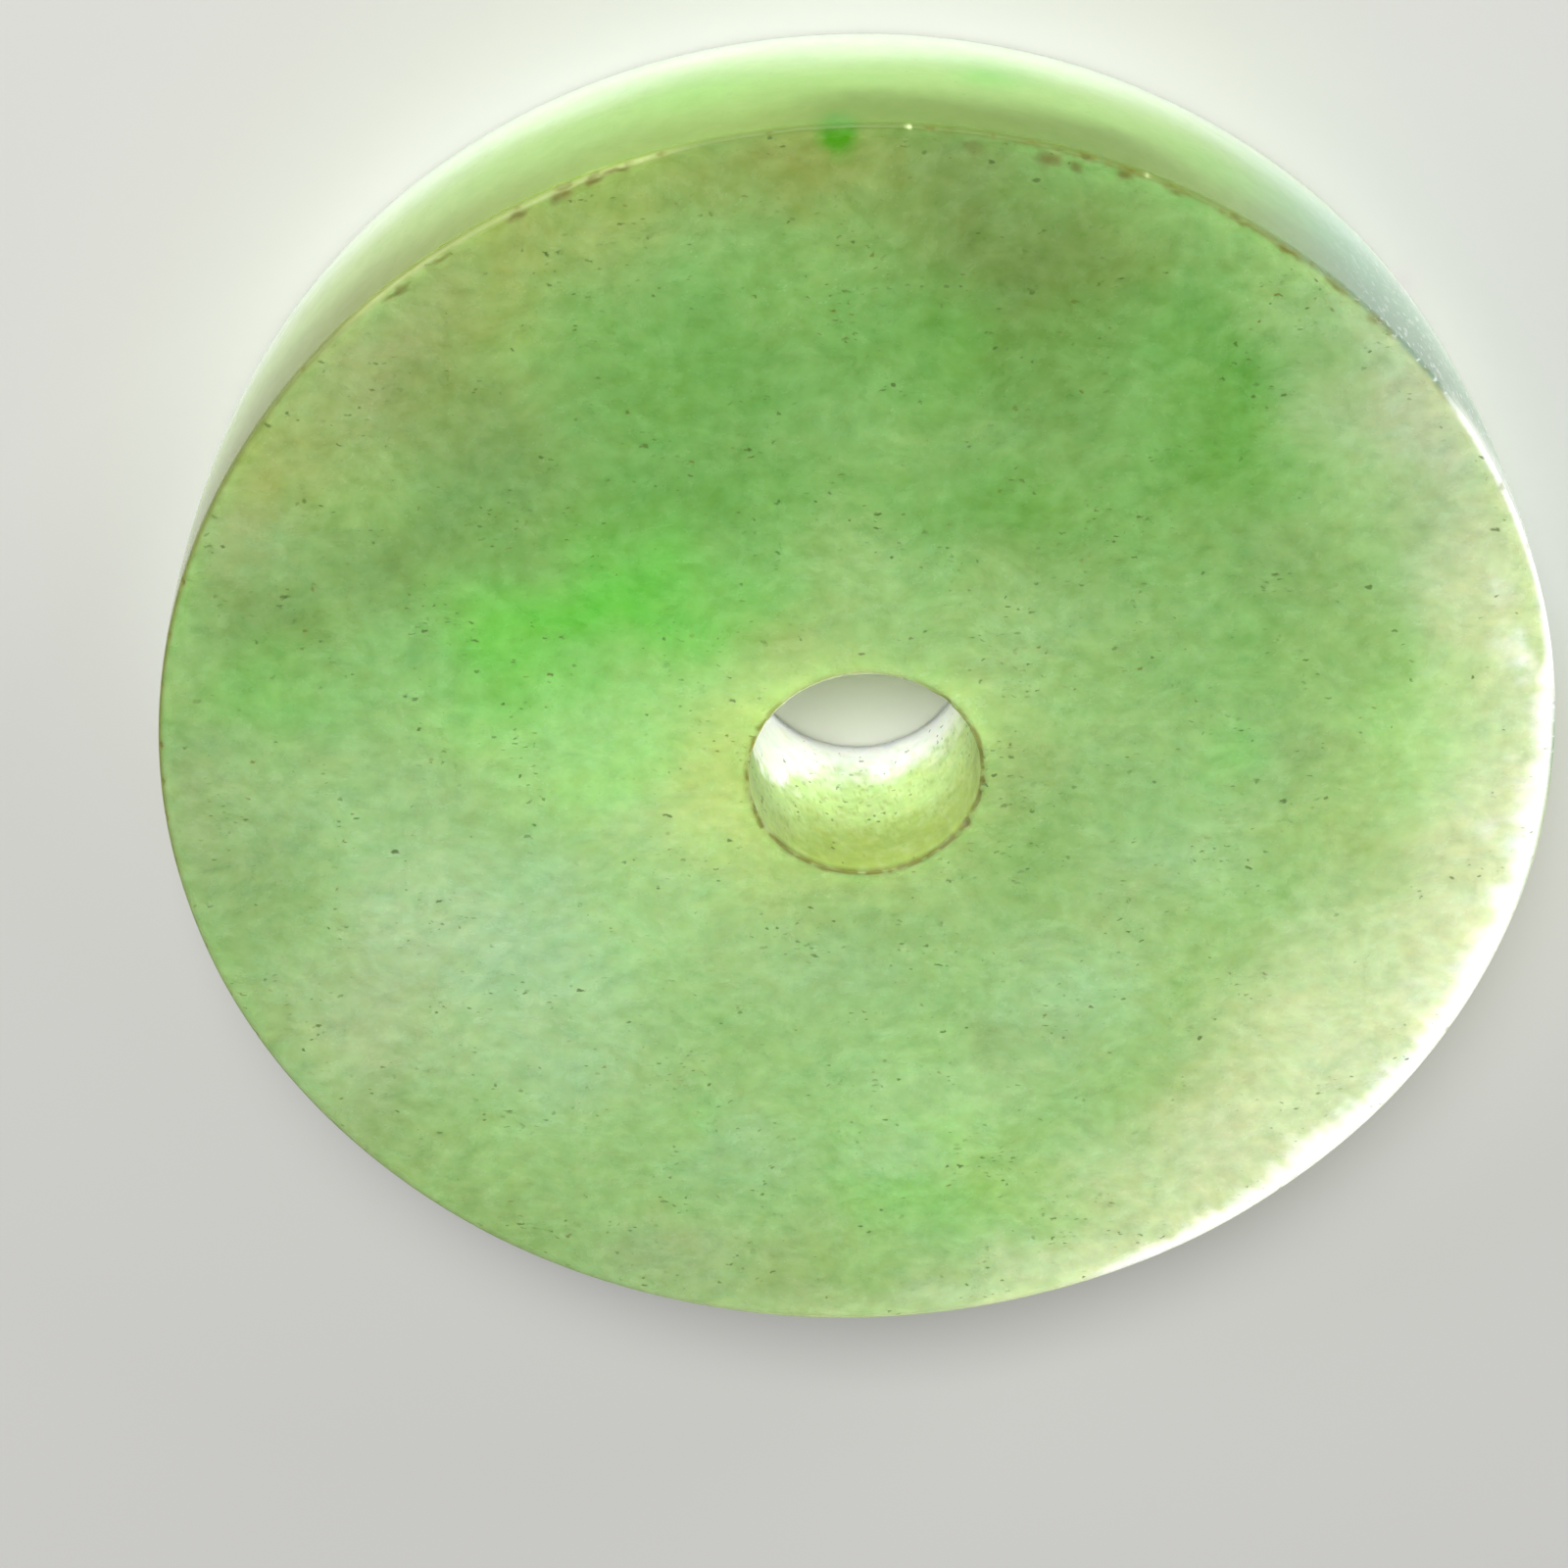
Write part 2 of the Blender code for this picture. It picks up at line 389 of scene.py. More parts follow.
HALO_STRENGTH, HALO_RIGHT_LOSS = 0.88, 0.7  # it is faint to the right of the bore
FACE_DEPTH = 0.82  # brightness of the faces next to the outer wall's
HUE_SWING = (0.065, 0.022, 0.07)  # of the red, green and blue in clouds about 3 mm across
LIGHT_SWING = 0.05
HUE_SIZE, LIGHT_SIZE = 3.2, 3.0
# Noise that bends the zones' borders: its size and how far it moves a point
LARGE_BEND, SMALL_BEND, RAGGED_BEND, SWIRL_BEND = (3.0, 1.3), (0.9, 0.35), (0.4, 0.15), (2.4, 0.45)
# Stretches round the disc: start, end and how softly they fade, in degrees
RIGHT_RIM, OLIVE_RIM, SHADED_RIM = (10, 46, 20), (72, 90, 12), (20, 80, 20)
RIM_HIGHLIGHT_STRETCH, REFLECTING_RIM = (10, 34, 6), (8, 42, 12)
TOP_LEFT_HIGHLIGHT_STRETCH, EDGE_SHADE_STRETCH, EDGE_HIGHLIGHT_STRETCH = (108, 130, 6), (48, 103, 6), (14, 35, 5)
STAINED_STRETCH, ROUGH_STRETCH, BAND_STRETCH = (44, 74, 10), (62, 104, 8), (-62, 13, 8)
CLEAN_MOUTH = (50, 130, 25)  # of the bore
# Depths below the front face between which the walls change colour
RIM_BACK_DEPTHS, RIM_LAST_DEPTHS = (4.0, 8.7), (7.0, 8.3)
BORE_MIDDLE_DEPTHS, BORE_LINE_DEPTHS = (1.0, 5.0), (2.6, 6.4, 1.2)
HIDDEN_RIM = 0.35  # how much of its colours the outer wall keeps on the side that faces away
EDGE_GREEN = (srgb(80, 150, 8), (on_rim(92.5, 0.3, 1.05, 1.3, 0.95), by_edge(92.5, 0.3, 1.0, 1.2, 0.9)))
RIM_GREEN = (srgb(126, 206, 82), (
    on_rim(103, 4.4, 3.2, 2.2, 0.25), on_rim(81, 4.7, 1.8, 1.6, 0.55),
    on_rim(79, 5.6, 2.6, 1.6, 0.25), on_rim(62.5, 3.0, 3.0, 2.4, 0.2),
))
# The outer wall from its front edge to its back one: on the whole, in its olive stretch, left and right. Its
# paling towards the back is painted glow, and the right end's blue-grey tints are painted reflection.
RIM_FRONT, RIM_OLIVE = srgb(134, 166, 56), srgb(112, 147, 22)
RIM_WARM, RIM_REFLECTION_TINT = srgb(130, 144, 58), srgb(140, 168, 144)
RIM_MIDDLE, RIM_LEFT_MIDDLE, RIM_RIGHT_MIDDLE = srgb(157, 200, 104), srgb(170, 198, 116), srgb(148, 188, 158)
RIM_BACK, RIM_RIGHT_BACK, RIM_LAST = srgb(232, 251, 219), srgb(208, 240, 218), srgb(226, 250, 214)
WHITE_BAND = srgb(247, 249, 242)  # painted glow along the right of the front face
BAND_ANGLES = (-72, -60, -45, -20, -3, 9, 13, 26)
BAND_WIDTHS = (0.1, 0.5, 0.85, 0.9, 0.8, 0.7, 0.1, 0.0)
# Patches of the same painted glow by the right edge
WHITE_PATCHES = (
    by_edge(12.0, 1.0, 1.1, 0.7, 0.8), by_edge(15.0, 1.4, 1.2, 1.0, 0.55), by_edge(20, 1.2, 1.4, 0.8, 0.3),
    by_edge(-4.5, 1.9, 1.0, 0.6, 0.4), by_edge(2.5, 1.4, 0.8, 0.8, 0.4), by_edge(-24, 2.2, 2.0, 0.8, 0.25),
)
EDGE_SHADE, EDGE_SHADE_REACH = 0.35, 0.2  # how much painted shade darkens the front edge, and how far in
# How much painted shade darkens the bore's front mouth
MOUTH_SHADE = 0.5
LINE_REACH, EDGE_HIGHLIGHT_REACH, ROUGH_REACH = 0.12, 0.16, 0.22  # of the lines along the front edge
TOP_LEFT_EDGE_HIGHLIGHT = srgb(176, 188, 118)  # a painted highlight: the pale line in the front edge's top left
# Painted shade: an olive tint that damps the front edge's glow along its top
EDGE_SHADE_TINT = srgb(100, 118, 66)
# White of chipped stone in chips and nicks, also used for painted highlights on the front edge and the outer
# wall
CHALK_AND_HIGHLIGHT = srgb(243, 249, 238)
GLINTS = (srgb(226, 246, 176), (
    by_edge(87.3, 0.04, 0.14, 0.12, 0.9), by_edge(69.0, 0.03, 0.16, 0.1, 0.6),
))
NICKS = (
    on_rim(39.0, 8.0, 0.6, 0.6, 1.0), on_rim(38.6, 7.5, 0.35, 0.4, 0.8), on_rim(65.5, 5.7, 0.3, 0.3, 1.0),
    on_rim(43.5, 7.9, 0.25, 0.3, 0.7), on_rim(34.5, 8.0, 0.4, 0.3, 0.7),
)
WISPS = 0.84  # how much the milky wisps swing the brightness, and the hue
WISP_HUE = 0.29
RUST = srgb(100, 98, 16)
RUST_SPOTS = (
    by_edge(117.6, 0.28, 0.55, 0.22, 0.8), by_edge(113.9, 0.30, 0.75, 0.3, 0.9),
    by_edge(111.2, 0.22, 0.5, 0.2, 1.0), by_edge(109.4, 0.16, 0.9, 0.14, 0.7),
    by_edge(124.5, 0.3, 0.5, 0.14, 0.6), by_edge(129, 0.32, 0.9, 0.12, 0.6),
    by_edge(82.5, 0.5, 0.6, 0.35, 0.4), by_edge(76.5, 0.45, 0.8, 0.4, 0.65),
    by_edge(74.3, 0.5, 0.35, 0.3, 0.6), by_edge(70.6, 0.25, 0.5, 0.25, 0.7),
    by_edge(66.5, 0.2, 0.4, 0.18, 0.6), by_edge(61, 0.15, 0.9, 0.15, 0.6),
    by_edge(56.5, 0.15, 1.0, 0.15, 0.7), by_edge(51.5, 0.15, 0.8, 0.14, 0.6),
    by_edge(47.5, 0.2, 0.5, 0.2, 0.5),
)
STAIN_LINE = 0.13  # half width of the brown line in a worn edge
# The bore's wall by its front mouth, in the middle and deep down: the paler middle and white depth are
# painted light
BORE_FRONT, BORE_MIDDLE, BORE_BACK = srgb(172, 193, 102), srgb(186, 211, 140), srgb(247, 250, 240)
BORE_LINES = srgb(146, 160, 76)
STAIN_STRENGTH, CHIP_STAIN = 0.85, 0.6
# Roughness of the faces, and what the glossy outer wall takes off it and other places add
FACE_ROUGHNESS, ROUGHEST = 0.26, 0.85
RIM_POLISH, BORE_ADDS, WEAR_ADDS, EDGE_ADDS = 0.12, 0.35, 0.3, 0.3
RIM_DETAIL_LOSS = 0.65  # how much fainter wisps and specks are on the outer wall


def zone_share(points, zones):
    """The summed strength of zones at each point, from 0 to 1."""
    total = np.zeros(len(points))
    for centre, half_sizes, degrees, strength in zones:
        turn = math.radians(degrees)
        offset = points - centre
        along = (offset[:, 0] * math.cos(turn) + offset[:, 1] * math.sin(turn)) / half_sizes[0]
        across = (offset[:, 1] * math.cos(turn) - offset[:, 0] * math.sin(turn)) / half_sizes[1]
        gap = np.sqrt(along**2 + across**2 + (offset[:, 2] / half_sizes[2]) ** 2)
        total += strength * (1 - smooth_step(gap, 0.0, 1.0))
    return np.minimum(total, 1.0)


def blended(colors, tint, share):
    """Each colour moved towards a tint by its share."""
    return colors + (np.array(tint[:3]) - colors) * np.broadcast_to(share, len(colors))[:, None]


def within(value, start, end, soft):
    """1 where a value is between start and end, fading over soft outside them."""
    return smooth_step(value, start - soft, start) * (1 - smooth_step(value, end, end + soft))


def heading(points, x=0.0, y=0.0):
    """Each point's angle in degrees about a vertical axis."""
    return np.degrees(np.arctan2(points[:, 1] - y, points[:, 0] - x))


def on_rim_wall(points):
    """1 on the outer wall and 0 on the faces."""
    return smooth_step(np.linalg.norm(points[:, :2], axis=1), END_RADIUS - 0.2, END_RADIUS - 0.03)


def on_bore_wall(points):
    from_bore = np.linalg.norm(points[:, :2] - (BORE_X, BORE_Y), axis=1)
    return 1 - smooth_step(from_bore, BORE_RADIUS + 0.03, BORE_RADIUS + 0.15)


def rim_colors(points, colors):
    """The outer wall is olive by its front edge, mint green in the middle and nearly white at the back: the
    paling is painted glow.
    """
    depth = THICKNESS - points[:, 2] + 0.5 * field(points * (0.35, 0.35, 1.0), 1.6, 3)
    angle = heading(points)
    right = within(angle, *RIGHT_RIM)
    left = smooth_step(np.abs(angle), 108, 135)
    olive = within(angle, *OLIVE_RIM)
    front = blended(blended(blended(colors, RIM_FRONT, 0.8), RIM_OLIVE, 0.9 * olive), RIM_WARM, 0.9 * left)
    # Painted reflection: a blue-grey sheen over the front of the outer wall's right end
    front = blended(front, RIM_REFLECTION_TINT, right)
    # Painted shade: the front of the wall is darker in two stretches
    shaded = 0.08 * within(angle, *SHADED_RIM) + 0.12 * smooth_step(np.abs(angle), 124, 150)
    front = front * (1 - shaded)[:, None]
    middle = np.tile(RIM_MIDDLE[:3], (len(points), 1))
    middle = blended(blended(middle, RIM_LEFT_MIDDLE, left), RIM_RIGHT_MIDDLE, right)
    back = blended(np.tile(RIM_BACK[:3], (len(points), 1)), RIM_RIGHT_BACK, right)
    # Painted glow: the wall pales from olive to mint and near white towards its back edge
    wall = front + (middle - front) * smooth_step(depth, 0.4 + olive, 4.6 - 0.9 * olive)[:, None]
    wall += (back - wall) * smooth_step(depth, *RIM_BACK_DEPTHS)[:, None]
    wall = blended(wall, RIM_LAST, 0.8 * smooth_step(depth, *RIM_LAST_DEPTHS))
    # Painted highlight: the front of the outer wall's right end is whitened like a glossy reflection
    rim_highlight = within(angle, *RIM_HIGHLIGHT_STRETCH) * (1 - smooth_step(depth, 0.4, 1.6 + 0.3 * np.maximum(0, 35 - angle)))
    wall = blended(wall, CHALK_AND_HIGHLIGHT, 0.8 * rim_highlight)
    shown = HIDDEN_RIM + (1 - HIDDEN_RIM) * smooth_step(points[:, 1], -8.0, 1.0)
    return colors + (wall - colors) * (shown * on_rim_wall(points))[:, None]


def bore_colors(points, colors):
    """The hole's wall is unpolished and yellow-green; painted light pales it and whitens it deeper down, more
    on the left, with a ragged border.
    """
    depth = THICKNESS - points[:, 2]
    ragged = 0.9 * field(points, 0.9, 16) + 0.7 * field(points, 0.35, 17)
    from_left = np.abs((heading(points, BORE_X, BORE_Y) - 165) % 360 - 30)
    left = 1 - smooth_step(from_left, 20, 60)
    # Painted light: the wall pales and turns white deeper down, and higher up on its left, where light falls
    # into the bore
    lower = depth + ragged + 2.6 * left
    wall = np.tile(BORE_FRONT[:3], (len(points), 1))
    wall = blended(wall, BORE_MIDDLE, smooth_step(lower, *BORE_MIDDLE_DEPTHS))
    veins = smooth_step(field(bend(points, 0.35, 0.25), 0.3, 18), 0.05, 0.5)
    wall = blended(wall, BORE_BACK, 0.1 * veins)
    wall = blended(wall, BORE_BACK, smooth_step(lower, 5.4 + 0.5 * left, 7.8 - 1.1 * left))
    lines = 1 - smooth_step(np.abs(field(bend(points, 0.5, 0.3), 0.5, 24)), 0.0, 0.08)
    wall = blended(wall, BORE_LINES, 0.45 * lines * within(lower, *BORE_LINE_DEPTHS))
    return colors + (wall - colors) * on_bore_wall(points)[:, None]


def white_band(points):
    """How much painted glow whitens the right of the front face, with rays that point inwards."""
    angle = heading(points)
    inset = END_RADIUS - np.linalg.norm(points[:, :2], axis=1)
    along = np.radians(angle) * END_RADIUS
    flat = np.column_stack([along, 0.3 * inset, 0 * along])
    rays = 1 + 0.4 * field(flat, 1.1, 19) + 0.3 * field(flat, 0.4, 20)
    width = np.maximum(0.1, np.interp(angle, BAND_ANGLES, BAND_WIDTHS) * rays)
    band = (1 - smooth_step(inset, 0.35 * width, 0.7 * width + width**2 + 0.3)) * within(angle, *BAND_STRETCH)
    clouds = zone_share(bend(points, 0.8, 0.5), WHITE_PATCHES)
    near_face = 1 - smooth_step(THICKNESS - points[:, 2], 0.3, 1.5)
    return np.maximum(band, clouds) * near_face


def edge_line(points, reach):
    """1 along the front face's outer edge, and nearly 0 from about twice the reach away."""
    gap = np.hypot(np.linalg.norm(points[:, :2], axis=1) - END_RADIUS, THICKNESS - points[:, 2])
    return np.exp(-((gap / reach) ** 2))


def mouth_line(points, reach):
    """The same for the bore's front mouth."""
    from_bore = np.linalg.norm(points[:, :2] - (BORE_X, BORE_Y), axis=1)
    return np.exp(-((np.hypot(from_bore - BORE_RADIUS, THICKNESS - points[:, 2]) / reach) ** 2))


def edge_shades(points):
    """Brightness of the front edges and the bore's front mouth, darkened by painted shade against their glow.
    """
    outer = EDGE_SHADE * edge_line(points, EDGE_SHADE_REACH)
    return 1 - outer - MOUTH_SHADE * mouth_line(points, EDGE_SHADE_REACH)


def stone_colors(points):
    """The stone's broad colours at each point, as linear values."""
    bent = bend(bend(points, *LARGE_BEND), *SMALL_BEND)
    colors = np.tile(JADE_BASE[:3], (len(points), 1))
    for tint, zones in (DEEP_GREEN, LIGHT_GREEN, PALE_CLOUD, OLIVE, HONEY, VIVID_GREEN, CREAM, MIST):
        colors = blended(colors, tint, zone_share(bent, zones))
    from_bore = bent[:, :2] - (BORE_X, BORE_Y)
    # Painted glow round the bore, faint to its right
    halo = 1 - smooth_step(np.linalg.norm(from_bore, axis=1), BORE_RADIUS, BORE_RADIUS + HALO_WIDTH)
    halo *= HALO_STRENGTH - HALO_RIGHT_LOSS * smooth_step(from_bore[:, 0], -6.0, 0.5)
    colors = blended(colors, HALO, halo) * FACE_DEPTH
    # Painted glow along the right of the front face
    colors = blended(colors, WHITE_BAND, white_band(points))
    colors = bore_colors(points, rim_colors(points, colors))
    ragged = bend(points, *RAGGED_BEND)
    for tint, zones in (RIM_GREEN, EDGE_GREEN):
        colors = blended(colors, tint, zone_share(ragged, zones))
    swing = np.array([noise.noise_vector(Vector(point) / HUE_SIZE) for point in bent]) * HUE_SWING
    swing += LIGHT_SWING * field(bent, LIGHT_SIZE, 9)[:, None]
    swing *= 1 - 0.6 * np.maximum(on_rim_wall(points), on_bore_wall(points))[:, None]
    # Painted shade along the front edges and the bore's front mouth
    colors *= (1 + swing) * edge_shades(points)[:, None]
    angle = heading(points)
    line = edge_line(points, LINE_REACH)
    # Painted highlight along the front edge's top left
    colors = blended(colors, TOP_LEFT_EDGE_HIGHLIGHT, line * within(angle, *TOP_LEFT_HIGHLIGHT_STRETCH))
    # Painted shade: the front edge's glow damped with olive along its top
    colors = blended(colors, EDGE_SHADE_TINT, 0.5 * line * within(angle, *EDGE_SHADE_STRETCH))
    # Painted highlight: a broken white line along the front edge's right end
    edge_highlight = within(angle, *EDGE_HIGHLIGHT_STRETCH) * (0.85 + 0.3 * field(points, 0.5, 15))
    colors = blended(colors, CHALK_AND_HIGHLIGHT, edge_highlight * edge_line(points, EDGE_HIGHLIGHT_REACH))
    colors = blended(colors, CHALK_AND_HIGHLIGHT, np.minimum(1, 2 * zone_share(points, NICKS)))
    return blended(colors, GLINTS[0], zone_share(points, GLINTS[1]))


def stains(points):
    """How stained each point is, from 0 to 1."""
    spots = 1.6 * zone_share(bend(points, 0.35, 0.14), RUST_SPOTS)
    return np.maximum(np.minimum(spots, 1.0), stain_lines(points))


def finish_values(points, worn):
    """Roughness: a glossy outer wall, satin faces, and rough chips, edges and bore."""
    rough = FACE_ROUGHNESS - RIM_POLISH * on_rim_wall(points) + BORE_ADDS * on_bore_wall(points)
    rough += WEAR_ADDS * worn
    stretch = within(heading(points), *ROUGH_STRETCH)
    rough += (EDGE_ADDS + EDGE_ADDS * stretch) * edge_line(points, ROUGH_REACH)
    return np.minimum(rough, ROUGHEST)


def stain_lines(points):
    """Broken brown lines in the bore's front mouth and along the front edge's top right."""
    wander = 0.07 * field(points, 0.7, 11)
    broken = field(points, 0.45, 12) + 0.5 * field(points, 0.2, 13)
    near_face = 1 - smooth_step(THICKNESS - points[:, 2], 0.05, 0.35)
    from_bore = points[:, :2] - (BORE_X, BORE_Y)
    mouth_gap = np.abs(np.linalg.norm(from_bore, axis=1) - BORE_RADIUS - 0.1 + wander)
    dirty = 1 - 0.65 * within(heading(points, BORE_X, BORE_Y), *CLEAN_MOUTH)
    mouth = (1 - smooth_step(mouth_gap, 0.03, STAIN_LINE)) * dirty * smooth_step(broken, -0.35, 0.0)
    edge_gap = np.abs(np.linalg.norm(points[:, :2], axis=1) - END_RADIUS + 0.1 + wander)
    stretch = within(heading(points), *STAINED_STRETCH)
    edge = (1 - smooth_step(edge_gap, 0.03, STAIN_LINE)) * stretch * smooth_step(broken, 0.0, 0.3)
    return np.maximum(mouth, 0.5 * edge) * near_face


def disc_rows():
    front = face_rows(THICKNESS, front_round, FRONT_INSETS)
    back = face_rows(0.0, back_round, BACK_INSETS)
    front_edge = outer_arc(front_round, THICKNESS, -1, range(1, ARC_ROWS + 1))
    back_edge = outer_arc(back_round, 0.0, 1, range(ARC_ROWS, 0, -2))
    # From the bore's back mouth up the bore and round the section, closing on the first row
    return bore_rows()[::-1] + front[::-1] + front_edge + rim_rows() + back_edge + back


def row_faces(rows):
    starts = np.concatenate([[0], np.cumsum([len(row) for row in rows])])
    faces = []
    for number, row in enumerate(rows):
        following = (number + 1) % len(rows)
        faces += strip(int(starts[number]), len(row), int(starts[following]), len(rows[following]))
    return faces


def disc_mesh():
    """The disc's mesh, with the values that its material reads at each point."""
    rows = disc_rows()
    points = np.concatenate(rows)
    colors = stone_colors(points)
    stain = stains(points)
    swirl = bend(points, *SWIRL_BEND)
    crowd = field(points, 2.8, 21) + 0.9 * field(points, 1.2, 22)
    crowd -= 0.25 * smooth_step(points[:, 0], 10.0, 20.0)  # fewer on the right
    rim, bore = on_rim_wall(points), on_bore_wall(points)
    # Painted reflection: where the outer wall's right end gets white flecks and streaks
    painted_reflection = rim * within(heading(points), *REFLECTING_RIM)
    patchy = np.maximum(smooth_step(field(points, 0.6, 23), -0.3, 0.1), bore)
    front_chips, back_chips = carve_edges(points)
    settle(points)
    stain = np.maximum(stain, CHIP_STAIN * front_chips * patchy)
    colors = blended(blended(colors, RUST, STAIN_STRENGTH * stain), CHALK_AND_HIGHLIGHT, back_chips)
    finish = finish_values(points, np.maximum(np.maximum(front_chips, back_chips), stain))
    mesh = bpy.data.meshes.new("jade")
    mesh.from_pydata((points * MM).tolist(), [], row_faces(rows))
    mesh.shade_smooth()
    add_values(mesh, "stone_color", "FLOAT_COLOR", "color", np.column_stack([colors, np.ones(len(colors))]))
    add_values(mesh, "swirl", "FLOAT_VECTOR", "vector", swirl)
    detail = 1 - RIM_DETAIL_LOSS * rim
    for name, values in (("crowd", crowd), ("painted_reflection", painted_reflection), ("finish", finish), ("detail", detail)):
        add_values(mesh, name, "FLOAT", "value", values)
    return mesh


def add_values(mesh, name, kind, key, values):
    """Stores one number, vector or colour per point of a mesh."""
    mesh.attributes.new(name, kind, "POINT").data.foreach_set(key, values.astype(np.float32).ravel())


class Graph:
    """A material's node tree, with short calls that each add one node and return its output."""

    def __init__(self, tree):
        self.tree = tree

    def feed(self, socket, value):
        if isinstance(value, bpy.types.NodeSocket):
            self.tree.links.new(value, socket)
        else:
            socket.default_value = value

    def node(self, kind, settings=(), **inputs):
        made = self.tree.nodes.new(kind)
        for name, value in dict(settings).items():
            setattr(made, name, value)
        for name, value in inputs.items():
            self.feed(made.inputs[name.replace("_", " ")], value)
        return made

    def math(self, operation, *values):
        made = self.node("ShaderNodeMath", {"operation": operation})
        for socket, value in zip(made.inputs, values):
            self.feed(socket, value)
        return made.outputs[0]

    def product(self, *values):
        total = values[0]
        for value in values[1:]:
            total = self.math("MULTIPLY", total, value)
        return total

    def vector(self, operation, *values):
        made = self.node("ShaderNodeVectorMath", {"operation": operation})
        for socket, value in zip(made.inputs, values):
            self.feed(socket, value)
        return made.outputs["Vector"]

    def scaled(self, vector, factor):
        made = self.node("ShaderNodeVectorMath", {"operation": "SCALE"}, Scale=factor)
        self.feed(made.inputs[0], vector)
        return made.outputs["Vector"]

    def clouds(self, at, size, detail, roughness):
        """Three separate noises about 0 with features of a size, as a vector."""
        made = self.node("ShaderNodeTexNoise", Vector=at, Scale=1 / size, Detail=detail, Roughness=roughness)
        return self.vector("SUBTRACT", made.outputs["Color"], (0.5, 0.5, 0.5))

    def span(self, value, low, high, to_low=0.0, to_high=1.0):
        """A smooth step: to_low where value is low, to_high where it is high."""
        made = self.node("ShaderNodeMapRange", {"interpolation_type": "SMOOTHSTEP"})
        for name, number in (("Value", value), ("From Min", low), ("From Max", high)):
            self.feed(made.inputs[name], number)
        made.inputs["To Min"].default_value = to_low
        made.inputs["To Max"].default_value = to_high
        return made.outputs["Result"]

    def mix(self, share, first, second):
        """A colour between first and second."""
        made = self.node("ShaderNodeMix", {"data_type": "RGBA"})
        for socket, value in zip((made.inputs[0], made.inputs[6], made.inputs[7]), (share, first, second)):
            self.feed(socket, value)
        return made.outputs[2]

    def attribute(self, name, output="Fac"):
        return self.node("ShaderNodeAttribute", {"attribute_name": name}).outputs[output]


WISP_SIZE, WISP_DETAIL, WISP_ROUGHNESS = 0.7, 3.0, 0.66
WISP_STRETCH = (0.85, 1.0, 1.0)
MILK = 0.12  # white that the wisps add, next to how much they swing the brightness
# Specks: size of the cells, largest radius, share of the cells that hold one, and width of the soft border
LARGE_SPECKS, SMALL_SPECKS = (0.55, 0.095, 0.32, 0.05), (0.21, 0.06, 0.72, 0.03)
SMALL_SHIFT = (7.3, 3.1, 5.7)  # so that the small ones don't repeat the large ones' places
SPECK_STRETCH, SPECK_RAGGEDNESS = (0.5, 1.0, 0.4), 0.7
SPECK_STRENGTH = 0.72
SPECK_GREEN, SPECK_BROWN, SPECK_REFLECTION = srgb(60, 86, 10), srgb(106, 100, 22), srgb(250, 255, 252)
# White flecks of painted reflection: their size and colour
FLECK_SIZE = 0.16
REFLECTION_FLECK_COLOR = srgb(246, 252, 250)
GLOSS_SWING = 0.25
STONE_IOR = 1.66
GLOW_RADIUS, GLOW_SCALE = (1.0, 1.0, 0.8), 1.6 * MM


def mottled(graph, clouds, color):
    """Milky wisps and darker shreds through the stone, with slight shifts of hue."""
    light = graph.product(graph.node("ShaderNodeSeparateXYZ", Vector=clouds).outputs[1], WISPS)
    hue = graph.vector("MULTIPLY", clouds, (WISP_HUE, 0.0, WISP_HUE))
    gain = graph.vector("ADD", hue, graph.math("MULTIPLY_ADD", light, 0.5, 1.0))
    return graph.vector("MULTIPLY_ADD", color, gain, graph.product(light, MILK))


def specks(graph, at, crowd, size, largest, share, soft):
    """Small dark inclusions: one possible speck in each cell of a size, kept in a share of the cells."""
    cells = graph.node("ShaderNodeTexVoronoi", Vector=at, Scale=1 / size)
    draw = graph.node("ShaderNodeSeparateColor", Color=cells.outputs["Color"]).outputs
    least = graph.math("SUBTRACT", 1.0 - share, crowd)
    radius = graph.math("MULTIPLY", graph.math("SUBTRACT", draw[0], least), largest / share)
    radius = graph.math("MINIMUM", radius, largest)
    room = graph.math("SUBTRACT", radius, graph.math("MULTIPLY", cells.outputs["Distance"], size))
    strength = graph.product(graph.span(room, 0.0, soft), graph.span(draw[1], 0.1, 0.97, 0.25, 1.0))
    return strength, draw[2]


def speckled(graph, at, detail, color):
    """Dark specks all over, but in the outer wall's right end white flecks and streaks of painted reflection.
    """
    at = graph.vector("MULTIPLY", at, SPECK_STRETCH)
    crowd = graph.attribute("crowd")
    large, draw = specks(graph, at, crowd, *LARGE_SPECKS)
    small, _ = specks(graph, graph.vector("ADD", at, SMALL_SHIFT), crowd, *SMALL_SPECKS)
    painted_reflection = graph.attribute("painted_reflection")
    fine = graph.node("ShaderNodeSeparateXYZ", Vector=graph.clouds(at, FLECK_SIZE, 1.0, 0.5)).outputs[0]
    reflection_flecks = graph.product(graph.span(fine, 0.08, 0.2, 0.0, 0.45), painted_reflection)
    color = graph.mix(reflection_flecks, color, REFLECTION_FLECK_COLOR)
    large = graph.product(large, graph.math("SUBTRACT", 1.0, painted_reflection))
    fade = graph.math("MAXIMUM", detail, graph.product(painted_reflection, 0.6))
    share = graph.product(graph.math("MAXIMUM", large, small), fade, SPECK_STRENGTH)
    tint = graph.mix(graph.span(draw, 0.7, 0.9), SPECK_GREEN, SPECK_BROWN)
    return graph.mix(share, color, graph.mix(painted_reflection, tint, SPECK_REFLECTION))


